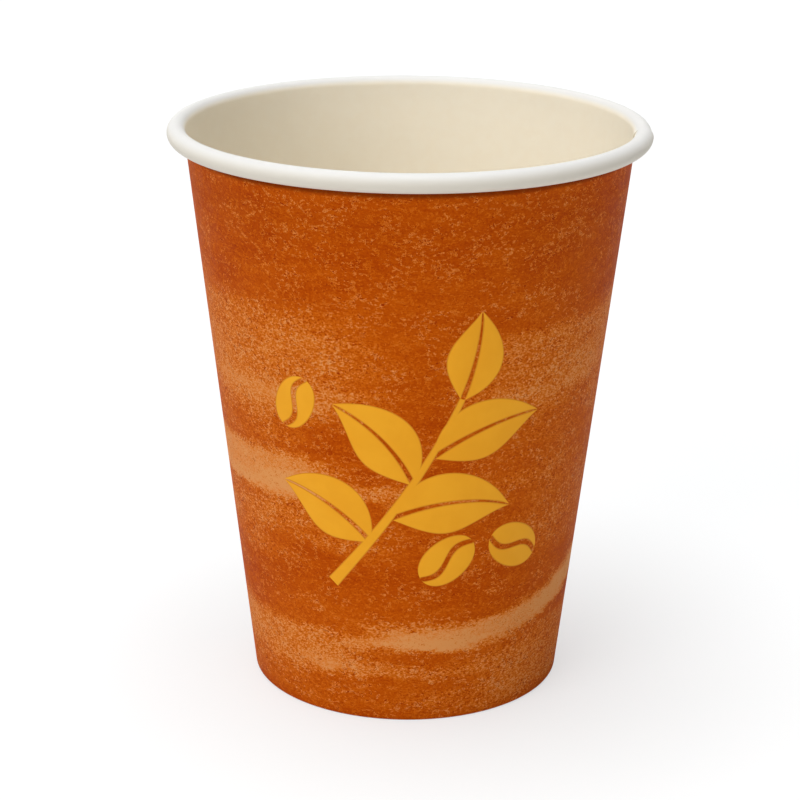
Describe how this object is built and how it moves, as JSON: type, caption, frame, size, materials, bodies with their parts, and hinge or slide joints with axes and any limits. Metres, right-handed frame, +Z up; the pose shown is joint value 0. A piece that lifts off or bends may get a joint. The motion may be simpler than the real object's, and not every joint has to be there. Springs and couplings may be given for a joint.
{
  "type": "paper hot drink cup",
  "caption": "Single-wall paper cup for hot drinks: tapered lapped sidewall with a rolled rim and folded foot, and a recessed bottom disc.",
  "frame": {"origin": "centre of the foot, on the table that the cup stands on", "axes": "+Z up along the cup's axis to the open mouth, -Y to the front with the printed motif, +X to its right-hand side"},
  "size_m": [0.0898, 0.09, 0.1085],
  "materials": {
    "printed_board": "satin printed paperboard, white uncoated look on the rim and inside",
    "plain_board": "smooth white coated paperboard"
  },
  "bodies": {
    "root": {"sidewall": "printed_board", "bottom_disc": "plain_board"}
  },
  "joints": []
}
